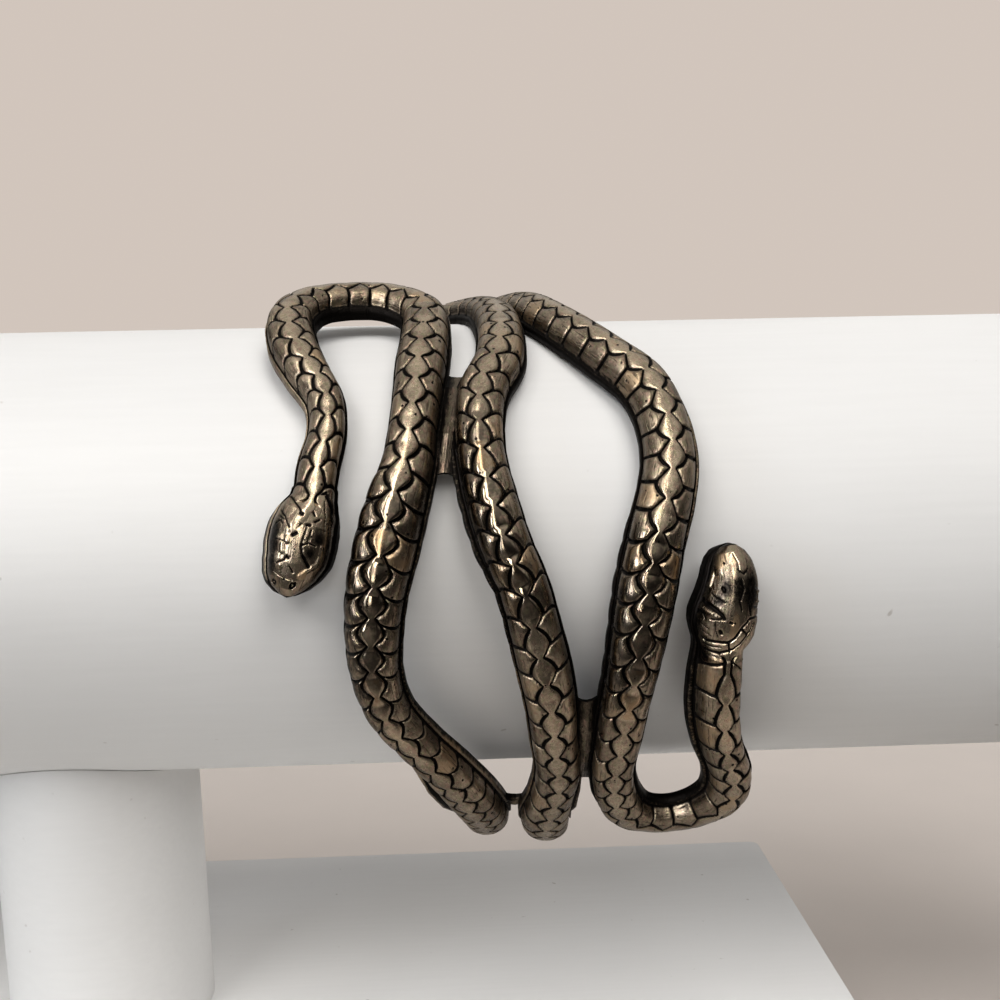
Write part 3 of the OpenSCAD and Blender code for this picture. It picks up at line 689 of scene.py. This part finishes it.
# %% The base, and the bend round the wrist
TIP, TIP_H, SNOUT_LEN, SNOUT_LEAN = 0.25, 0.8, 4.5, 0.6
wave = 0.5 * side_knob * (1 - round_on ** ROUND)
base = {
    DOME_FOOT: (dome_foot + 0.02, wall - FOOT_GROOVE * (1 - 0.6 * head_part)),
    LEDGE_IN: (dome_foot + 0.08 - 0.04 * head_part + 0.3 * ledge + 0.2 * flange,
               wall - FOOT_GROOVE * (1 - head_part) - 0.1 * np.minimum(flange, 1)),
    LEDGE_OUT: (dome_foot + 0.14 - 0.02 * head_part + 0.35 * ledge + 0.85 * flange, wall + 0.95 * flange),
    RIM: (half - 0.03 - wave - 0.25 * head_part + 1.2 * flange,
          wall - 0.02 - 0.1 * head_part + 1.05 * flange),
    WALL_FOOT: (half - wave + 0.3 * flange, 0 * wall),
    BACK: (half * 0, 0 * wall),
}
for this_column, (base_w, base_z) in base.items():
    here = column == this_column
    w, z = np.where(here, base_w, w), np.where(here, base_z, z)
# the snouts close in a round
near_tip = (back / TIP).clip(0, 1)
closing = np.sqrt(near_tip * (2 - near_tip))
w, z = w * closing, TIP_H + (z - TIP_H) * closing
snout_lean = np.where(left, SNOUT_LEAN, 0) * smooth_step((SNOUT_LEN - back) / SNOUT_LEN)
w = side * w - snout_lean + lean * z / high_here
places = bent(middle[:, 0] - way[:, 1] * w, middle[:, 1] + way[:, 0] * w, lift + z)
print("laid between", places.min(axis=0).round(4), "and", places.max(axis=0).round(4))

# %% [markdown]
# The finish follows marks that lie on the vertices, because it depends on the relief: black
# stays in the grooves, pits and hollows, under the ledge and at the tips of the snouts, and
# the knobs are polished. The black on the rims, the side walls and the snout tips is partly
# patina and partly painted shade, and the dark head patches are partly painted dark reflection.
# Painting would do it too, but marks move along when a scale is moved.

# %% Where it is black
EDGE_GREY, DARK_PATCH_GREY, BACK_GREY = 0.44, 0.56, 0.35
edge = np.isin(column, (MID_EDGE, SIDE_EDGE)) | (np.isin(step, (4, 7)) & on_side & (on_body > 0))
dark = np.maximum(np.maximum(zig_floor * (1 - 0.25 * rising), cross_floor), EDGE_GREY * edge) * pattern
# a light lip runs along one side of the left head
light_lip = head_part * (left & (side < 0)) * smooth_step((back - 0.7) / 1.2)
black_lip = head_part * (1 - light_lip)
rim_black = np.where(side < 0, read(LEDGES, s_row, FIRST_BLACK), read(LEDGES, s_row, SECOND_BLACK))
# painted shade, partly patina: black on the rims, the side walls and the tips of the snouts
for more in (
        pit_dark, DARK_PATCH_GREY * hollow, 1.6 - 3.2 * back, np.isin(column, (DOME_FOOT, LEDGE_IN)) * 1.0,
        (column == LEDGE_OUT) * np.maximum(rim_black * (1 - light_lip), np.maximum(black_lip, flange)),
        (column == RIM) * np.maximum(rim_black * (1 - 0.7 * light_lip), black_lip),
        (column == WALL_FOOT) * (rim_black * 1.6).clip(0, 1), (column == BACK) * BACK_GREY):
    dark = np.maximum(dark, more)
print(round(float((dark > 0.5).mean()) * 100), "percent of the vertices are black")

# %% Where it is polished, and where it is darkened
# length, how much darker the middle of the side scales is
MIDDLES_DARK = np.array([(300, 0.2), (383, 0.8), (440, 0.5), (470, 0.6)])
# polished knobs are smoother, and the finish darkens their colour too: a painted dark reflection
polish = smooth_step((knob - 0.1) / 0.12) * on_dome * np.where((column >= 4) & low_side, 0.5, 1)
polish = np.maximum(polish * pattern, np.maximum(0.45 * head_part * on_dome, hollow))
# painted shade: the flank mark darkens each dome towards its feet, and also carries the dark head patches
flank = smooth_step((across - 0.5) / 0.45) * on_dome * (1 - 0.5 * head_part)
middle_dark = read(MIDDLES_DARK, s_row, 1) * round_on * round_over * on_side * pattern
flank = np.maximum(np.maximum(flank, middle_dark) * (1 - gold), hollow)
from_crest = np.where(on_dome, reach, quarter + (column - DOME_FOOT) * 0.25) * side
print("polished:", round(float((polish > 0.5).mean()) * 100), "percent")

# %% [markdown]
# Each scale has its own tone: some are rubbed to a pale champagne, some stay brown, and a
# few have an orange stain. A seeded list of random numbers gives each scale its own, so
# that the picture is the same each time. The heads have their golden places instead.

# %% Tones, and the skin in its place
SAME_POINT = 0.0000005
scale_tones = np.random.default_rng(11).random((UNITS + 3, 3))
which = np.where(np.abs(columns) <= 3, 1, np.where(columns < 0, 0, 2))
on_heads = 1 - pattern
tone = scale_tones[scale + 1, which] * (1 - on_heads) + (0.45 + 0.85 * gold) * on_heads
skin.data.vertices.foreach_set("co", places.ravel())
keep_marks(skin.data, {"groove": dark, "along": s, "across": from_crest, "polish": polish,
                       "flank": flank, "tone": tone})
edit_all(skin)
bpy.ops.mesh.remove_doubles(threshold=SAME_POINT)
bpy.ops.mesh.normals_make_consistent(inside=False)
bpy.ops.object.mode_set(mode="OBJECT")
bpy.ops.object.shade_smooth()
triangles = sum(len(face.vertices) - 2 for face in skin.data.polygons)
print("skin:", len(skin.data.vertices), "vertices,", triangles, "triangles")

# %% [markdown]
# ## The webs
# Where two strands run close, the casting has a thin web between them that holds the cuff
# together. Each one is a small block, cut into small faces and bent with the cuff, with
# hollow ends and a low ridge down its middle. It lies dark between the strands, and is joined
# to the skin, as it is cast with it.

# %% Webs between the strands
# angle, left and right side at its start; the same at its end
WEBS = [
    ((43, -6.5, -3.2), (17.5, -7.6, -5)), ((-26, 5.2, 8.4), (-52, 5.2, 8.2)),
    ((-59, -1.8, 1.5), (-64, -1.8, 1)), ((66, 0.8, 3.2), (76, -0.4, 1.6)),
]
WEB_LOW, WEB_HIGH, WEB_CUTS = 0.15, 1.1, 5


def web_piece(name, start, end):
    """A block between two strands; u runs along it, v across it and h up it."""
    bpy.ops.object.select_all(action="DESELECT")
    bpy.ops.mesh.primitive_cube_add(size=1)
    piece = bpy.context.object
    piece.name = piece.data.name = name
    edit_all(piece)
    bpy.ops.mesh.subdivide(number_cuts=WEB_CUTS)
    bpy.ops.object.mode_set(mode="OBJECT")
    u, v, h = places_of(piece.data).T + 0.5
    long = abs(math.radians(end[0] - start[0])) * MID_R
    hollow = np.sin(np.pi * v) / long
    angle = start[0] + (end[0] - start[0]) * (hollow + (1 - 1.5 * hollow) * u)
    near = start[1] + (end[1] - start[1]) * u
    far = start[2] + (end[2] - start[2]) * u
    ridge = np.sin(np.pi * v) ** 2
    ends = np.sin(np.pi * (0.04 + 0.92 * u)) ** 0.4
    top = (0.7 + 0.35 * ridge + 0.1 * np.sin(9 * u + 4 * v)) * ends
    up_it = WEB_LOW + (WEB_HIGH - WEB_LOW) * h * top
    put_at = bent(np.radians(angle) * MID_R, near + (far - near) * v, up_it)
    piece.data.vertices.foreach_set("co", put_at.ravel())
    keep_marks(piece.data, {"groove": 1 - 0.64 * ridge * (h > 0.9), "along": u * 5, "across": v * 3 + 3,
                            "tone": u * 0 + 0.2, "polish": u * 0 + 0.6, "flank": u * 0 + 0.6})
    edit_all(piece)
    bpy.ops.mesh.normals_make_consistent(inside=False)
    bpy.ops.object.mode_set(mode="OBJECT")
    return piece


web_pieces = [web_piece("web_%d" % i, a, b) for i, (a, b) in enumerate(WEBS)]
only(skin)
for piece in web_pieces:
    piece.select_set(True)
bpy.ops.object.join()
skin.name = skin.data.name = "snake_casting"
print("casting:", len(skin.data.polygons), "faces with", len(WEBS), "webs")

# %% [markdown]
# ## Node groups for the finishes
# Two effects are made once as shader node groups. The first gives the wear of the cast
# metal: black in the grooves, fine scratches and pits, and a tone for each scale, with
# painted shade on the flanks and polished knobs and a painted highlight near the crests.
# The second gives the faint grain of the stand's white covering. Each one puts out a
# colour, a roughness and a normal.

# %% Small helpers for node trees
def group_with(name, inputs, outputs):
    tree = bpy.data.node_groups.new(name, "ShaderNodeTree")
    for label, kind, value in inputs:
        socket = tree.interface.new_socket(name=label, in_out="INPUT", socket_type=kind)
        if value is not None:
            socket.default_value = value
    for label, kind in outputs:
        tree.interface.new_socket(name=label, in_out="OUTPUT", socket_type=kind)
    return tree, tree.nodes.new("NodeGroupInput"), tree.nodes.new("NodeGroupOutput")


def put(tree, kind, links=None, **settings):
    """Adds a node, sets its properties, and links or sets its inputs by name or number."""
    node = tree.nodes.new(kind)
    for key, value in settings.items():
        setattr(node, key, value)
    for key, value in (links or {}).items():
        socket = node.inputs[key]
        if isinstance(value, bpy.types.NodeSocket):
            tree.links.new(value, socket)
        else:
            socket.default_value = value
    return node


def math_node(tree, operation, a, b=0.0, clamp=False):
    return put(tree, "ShaderNodeMath", {0: a, 1: b}, operation=operation, use_clamp=clamp).outputs[0]


def ramp(tree, value, low, high, out_low=0.0, out_high=1.0):
    """A smooth step from one value to another."""
    limits = {"Value": value, "From Min": low, "From Max": high, "To Min": out_low, "To Max": out_high}
    return put(tree, "ShaderNodeMapRange", limits, interpolation_type="SMOOTHSTEP").outputs["Result"]


def mix_colour(tree, factor, a, b):
    """Inputs 6 and 7 and output 2 are the mix node's sockets for colours."""
    return put(tree, "ShaderNodeMix", {"Factor": factor, 6: a, 7: b}, data_type="RGBA").outputs[2]


def noise(tree, vector, scale, detail, roughness=0.5):
    """The value of a noise texture."""
    settings = {"Vector": vector, "Scale": scale, "Detail": detail, "Roughness": roughness}
    return put(tree, "ShaderNodeTexNoise", settings).outputs["Fac"]


def combine(tree, x, y, z):
    return put(tree, "ShaderNodeCombineXYZ", {0: x, 1: y, 2: z}).outputs[0]


def sums_in(tree):
    """Adding, taking away and multiplying in one node tree."""
    def plus(a, b, clamp=False):
        return math_node(tree, "ADD", a, b, clamp)

    def minus(a, b, clamp=False):
        return math_node(tree, "SUBTRACT", a, b, clamp)

    def times(a, b, clamp=False):
        return math_node(tree, "MULTIPLY", a, b, clamp)
    return plus, minus, times


FINISH = [("Color", "NodeSocketColor"), ("Roughness", "NodeSocketFloat"), ("Normal", "NodeSocketVector")]
BUMP_SIZE = 0.0001


def give_finish(tree, made, colour, rough, height, strength):
    """Turns the height into a normal, and puts out the three values of a finish."""
    bump = put(tree, "ShaderNodeBump", {"Height": height, "Strength": strength, "Distance": BUMP_SIZE})
    for (label, _), socket in zip(FINISH, (colour, rough, bump.outputs["Normal"])):
        tree.links.new(socket, made.inputs[label])


def new_material(name):
    material = bpy.data.materials.new(name)
    material.use_nodes = True
    return material, material.node_tree, material.node_tree.nodes["Principled BSDF"]


# %% Wear of the cast metal, with painted shade and a painted highlight
CHAMPAGNE, BROWN, RUST = (0.5, 0.41, 0.3, 1), (0.19, 0.145, 0.105, 1), (0.36, 0.22, 0.175, 1)
OLIVE, ORANGE = (0.27, 0.265, 0.15, 1), (0.42, 0.26, 0.13, 1)
# the darkest brown is for painted shade and painted dark reflection, with some tarnish
SHADE_AND_TARNISH, BLACK = (0.075, 0.062, 0.05, 1), (0.007, 0.006, 0.0055, 1)

wear, given, made = group_with(
    "cast_metal_wear",
    [(label, "NodeSocketFloat", value) for label, value in (
        ("Along", 0.0), ("Across", 0.0), ("Groove", 0.0), ("Tone", 0.5), ("Polish", 0.0), ("Flank", 0.0),
        ("Scratches", 1.0), ("Pits", 1.0))],
    FINISH)
plus, minus, times = sums_in(wear)
g = given.outputs
# the patterns: lines along the snake, clouds of several sizes, and pits
stretched = combine(wear, times(g["Along"], 0.55), times(g["Across"], 4.2), 0.0)
even = combine(wear, g["Along"], g["Across"], 3.0)
lines = noise(wear, stretched, 1.0, 3.0, 0.6)
cloud = noise(wear, even, 0.9, 4.0, 0.62)
fine = noise(wear, even, 4.5, 3.0, 0.6)
mottle = noise(wear, even, 2.0, 4.0, 0.7)
fine_shift = minus(fine, 0.5)
cells = put(wear, "ShaderNodeTexVoronoi", {"Vector": even, "Scale": 1.0, "Randomness": 1.0})
pit_size = put(wear, "ShaderNodeSeparateColor", {0: cells.outputs["Color"]}).outputs[0]
pit_part = math_node(wear, "DIVIDE", cells.outputs["Distance"], plus(times(pit_size, 0.18), 0.02))
pit = times(ramp(wear, pit_part, 0.6, 1.1, 1.0, 0.0), g["Pits"], True)
crest = ramp(wear, math_node(wear, "ABSOLUTE", g["Across"]), 0.15, 1.1, 1.0, 0.0)
# what is black: the grooves, the deep scratches and the pits
scratch = times(ramp(wear, lines, 0.52, 0.66), g["Scratches"], True)
scratch = times(scratch, minus(1.0, times(crest, 0.7)))
black = ramp(wear, plus(g["Groove"], times(fine_shift, 0.5)), 0.3, 0.6)
sides = plus(g["Flank"], g["Polish"], True)
black = math_node(wear, "MAXIMUM", black, times(scratch, plus(times(sides, 0.45), 0.5)))
black = math_node(wear, "MAXIMUM", black, pit)
# the colour: rubbed or brown, with stains, painted shade and a painted highlight, and an orange stain on a
# few scales
shade = plus(times(cloud, 0.8), times(g["Tone"], 0.3))
shade = plus(shade, times(lines, 0.35))
# painted highlight, partly rubbed wear: the colour is lighter near the crest
shade = plus(shade, times(crest, 0.15))
shade = plus(shade, times(fine_shift, 0.7))
worn_and_highlit = mix_colour(wear, ramp(wear, shade, 0.45, 1.05), BROWN, CHAMPAGNE)
worn_and_highlit = mix_colour(wear, ramp(wear, mottle, 0.53, 0.61, 0.0, 0.58), worn_and_highlit, RUST)
worn_and_highlit = mix_colour(wear, ramp(wear, mottle, 0.39, 0.47, 0.58, 0.0), worn_and_highlit, OLIVE)
# painted shade and painted dark reflection, with some tarnish: polished knobs, dark patches and the feet of
# the domes are darkened
shade_and_tarnish = plus(times(ramp(wear, cloud, 0.35, 0.6), g["Polish"]), times(g["Flank"], 0.55), True)
pale = mix_colour(wear, times(shade_and_tarnish, 0.8), worn_and_highlit, SHADE_AND_TARNISH)
stain = ramp(wear, plus(g["Tone"], times(cloud, 0.5)), 1.1, 1.3, 0.0, 0.45)
pale = mix_colour(wear, stain, pale, ORANGE)
colour = mix_colour(wear, black, pale, BLACK)
# how rough it is, and how uneven
rough = plus(ramp(wear, cloud, 0.3, 0.7, 0.26, 0.38), times(black, 0.22))
rough = plus(rough, ramp(wear, g["Tone"], 0.85, 1.2, 0.0, 0.2))
rough = minus(rough, times(crest, 0.07))
rough = minus(rough, times(g["Polish"], 0.16), True)
height = plus(times(fine, 0.2), times(cloud, 0.9))
height = minus(height, plus(times(scratch, 0.5), pit))
strength = minus(0.5, times(g["Polish"], 0.3))
strength = minus(strength, times(crest, 0.18), True)
give_finish(wear, made, colour, rough, height, strength)
print("wear group:", len(wear.nodes), "nodes")

# %% [markdown]
# ## The antiqued metal
# The metal is a Principled shader with full Metallic, because the rubbed scales mirror the
# room. The marks laid on the skin tell the group where the grooves are and how the
# scratches run along the snake.

# %% Antiqued metal
metal, tree, shader = new_material("antiqued_white_metal")
finish = put(tree, "ShaderNodeGroup", node_tree=wear)
for label in ("Along", "Across", "Groove", "Tone", "Polish", "Flank"):
    source = put(tree, "ShaderNodeAttribute", attribute_name=label.lower())
    tree.links.new(source.outputs["Fac"], finish.inputs[label])
shader.inputs["Metallic"].default_value = 1.0
for (label, _), socket in zip(FINISH, ("Base Color", "Roughness", "Normal")):
    tree.links.new(finish.outputs[label], shader.inputs[socket])
skin.data.materials.append(metal)
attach(skin, "root")
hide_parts("snake_cuff")
print("metal on", skin.name)

# %% [markdown]
# ## The stand
# The stand is a padded T: a round bar, a post and a flat base, all in the same white
# covering, which has a very faint grain along the bar and a soft sheen. The solids already
# have the right shape, so they stay and only get this material.

# %% White covering
grain, given, made = group_with(
    "covering_grain",
    [("Vector", "NodeSocketVector", None), ("Grain", "NodeSocketFloat", 1.0),
     ("Specks", "NodeSocketFloat", 1.0)],
    FINISH)
plus, minus, times = sums_in(grain)
g = given.outputs
long_way = put(grain, "ShaderNodeMapping", {"Vector": g["Vector"], "Scale": (90.0, 1500.0, 1500.0)})
streaks = noise(grain, long_way.outputs[0], 1.0, 3.0)
clouds = noise(grain, g["Vector"], 22.0, 3.0)
dots = noise(grain, g["Vector"], 700.0, 1.0)
tint = plus(times(clouds, 0.7), times(streaks, 0.3))
cover = mix_colour(grain, ramp(grain, tint, 0.3, 0.7), (0.83, 0.825, 0.815, 1), (0.87, 0.865, 0.855, 1))
speck = times(ramp(grain, dots, 0.78, 0.86), g["Specks"], True)
cover = mix_colour(grain, speck, cover, (0.6, 0.58, 0.55, 1))
height = plus(times(streaks, g["Grain"]), times(dots, 0.5))
give_finish(grain, made, cover, ramp(grain, clouds, 0.3, 0.7, 0.46, 0.58), height, 0.05)

covering, tree, shader = new_material("white_covering")
where = put(tree, "ShaderNodeTexCoord").outputs["Object"]
cloth = put(tree, "ShaderNodeGroup", {"Vector": where}, node_tree=grain)
for label in ("Roughness", "Normal"):
    tree.links.new(cloth.outputs[label], shader.inputs[label])
# the metal mirrors the stand darker than it is, which keeps the flanks of the scales dark
seen_in_metal = put(tree, "ShaderNodeLightPath").outputs["Is Glossy Ray"]
dimmer = mix_colour(tree, seen_in_metal, cloth.outputs["Color"], (0.42, 0.4, 0.38, 1))
tree.links.new(dimmer, shader.inputs["Base Color"])
for name in ("stand_bar", "stand_post", "stand_base"):
    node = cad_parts[name]
    if not node.material_slots:
        node.data.materials.append(covering)
    for holder in node.material_slots:
        holder.material = covering
print("covering on the bar, post and base")

# %% [markdown]
# ## Floor, light and backdrop
# The floor is a pale plain sheet just under the base. Three lights are there only for the
# metal to mirror: a tall narrow one in front gives the bright streaks on the crests, and two
# on the left give the glints on the scales' edges. Five lights fall on the stand and the
# floor: a window, a ceiling light, one low in front, a cool one at the left, and one at the
# far side that reaches the base under the bar. The world gives the pale backdrop, a low fill,
# and a room that is bright above and dark at eye level. Where the metal mirrors the floor in
# front of the stand, the floor is painted dark: a painted dark reflection.

# %% Floor
bpy.ops.object.select_all(action="DESELECT")
bpy.ops.mesh.primitive_plane_add(size=6, location=(0, 0, -0.0005))
floor = bpy.context.object
floor.name = "floor"
pale_floor, tree, shader = new_material("pale_floor")
where = put(tree, "ShaderNodeTexCoord").outputs["Object"]
ray = put(tree, "ShaderNodeLightPath").outputs
sheet = mix_colour(tree, noise(tree, where, 40.0, 4.0), (0.68, 0.62, 0.575, 1), (0.74, 0.67, 0.62, 1))
front_to_back = put(tree, "ShaderNodeSeparateXYZ", {0: where}).outputs[1]
# painted dark reflection: only mirrored rays see the floor in front of the stand dark
painted_dark_reflection = math_node(tree, "MULTIPLY", ray["Is Glossy Ray"], ramp(tree, front_to_back, -0.04, -0.12))
sheet = mix_colour(tree, painted_dark_reflection, sheet, (0.04, 0.037, 0.035, 1))
# little light comes back up from the floor, so the undersides stay dim
sheet = mix_colour(tree, ray["Is Diffuse Ray"], sheet, (0.3, 0.28, 0.26, 1))
tree.links.new(sheet, shader.inputs["Base Color"])
shader.inputs["Roughness"].default_value = 0.8
floor.data.materials.append(pale_floor)

# %% Lights
TARGET = Vector((0.05, 0, 0.085))


def soft_light(name, azimuth, elevation, distance, width, height, power, colour):
    """An oblong light that faces the cuff. Azimuth is measured from the front, to the right."""
    a, e = math.radians(azimuth), math.radians(elevation)
    at = TARGET + distance * Vector((math.sin(a) * math.cos(e), -math.cos(a) * math.cos(e), math.sin(e)))
    bpy.ops.object.light_add(type="AREA", location=at)
    light = bpy.context.object
    light.name = name
    light.data.shape = "RECTANGLE"
    light.data.size, light.data.size_y = width, height
    light.data.energy = power
    light.data.color = colour
    light.rotation_euler = (TARGET - at).to_track_quat("-Z", "Y").to_euler()
    light.visible_camera = False
    return light


mirrored_lights = [
    soft_light("tall_front_light", -14, 32, 0.9, 0.14, 1.15, 4.2, (1.0, 0.95, 0.85)),
    soft_light("left_light", -45, 11, 0.8, 0.28, 0.42, 3.6, (0.95, 0.97, 1.0)),
    soft_light("window_glow", -40, 44, 0.8, 0.3, 0.3, 1.3, (1.0, 0.98, 0.94)),
]
for light in mirrored_lights:
    light.visible_diffuse = False
room_lights = [
    soft_light("window_light", -35, 40, 0.7, 0.35, 0.35, 1.75, (1.0, 0.985, 0.965)),
    soft_light("ceiling_light", 14, 70, 0.85, 0.3, 0.3, 2.0, (1.0, 0.98, 0.95)),
    soft_light("low_front_light", 24, 42, 0.75, 0.4, 0.4, 2.0, (1.0, 0.985, 0.965)),
    soft_light("cool_side_light", -62, 6, 0.8, 0.25, 0.4, 0.9, (0.72, 0.85, 1.0)),
    soft_light("far_side_light", 148, 30, 0.7, 0.35, 0.35, 1.5, (1.0, 0.985, 0.965)),
]
for light in room_lights:
    light.visible_glossy = False

# %% World
EYE_LEVEL, ABOVE = (0.035, 0.033, 0.032, 1), (0.7, 0.675, 0.64, 1)
FILL, BACKDROP = (0.078, 0.073, 0.072, 1), (0.64, 0.56, 0.503, 1)
world = bpy.data.worlds.new("soft_room")
bpy.context.scene.world = world
world.use_nodes = True
tree = world.node_tree
plus, minus, times = sums_in(tree)
ray = put(tree, "ShaderNodeLightPath").outputs
sky = put(tree, "ShaderNodeTexCoord").outputs["Generated"]
height = put(tree, "ShaderNodeSeparateXYZ", {0: sky}).outputs[2]
height = plus(height, times(minus(noise(tree, sky, 2.6, 2.0), 0.5), 0.5))
room = mix_colour(tree, ramp(tree, height, 0.15, 0.62), EYE_LEVEL, ABOVE)
room = mix_colour(tree, ray["Is Diffuse Ray"], room, FILL)
room = mix_colour(tree, ray["Is Camera Ray"], room, BACKDROP)
tree.links.new(room, tree.nodes["Background"].inputs["Color"])
bpy.context.scene.view_settings.view_transform = "Standard"
bpy.context.scene.view_settings.look = "None"
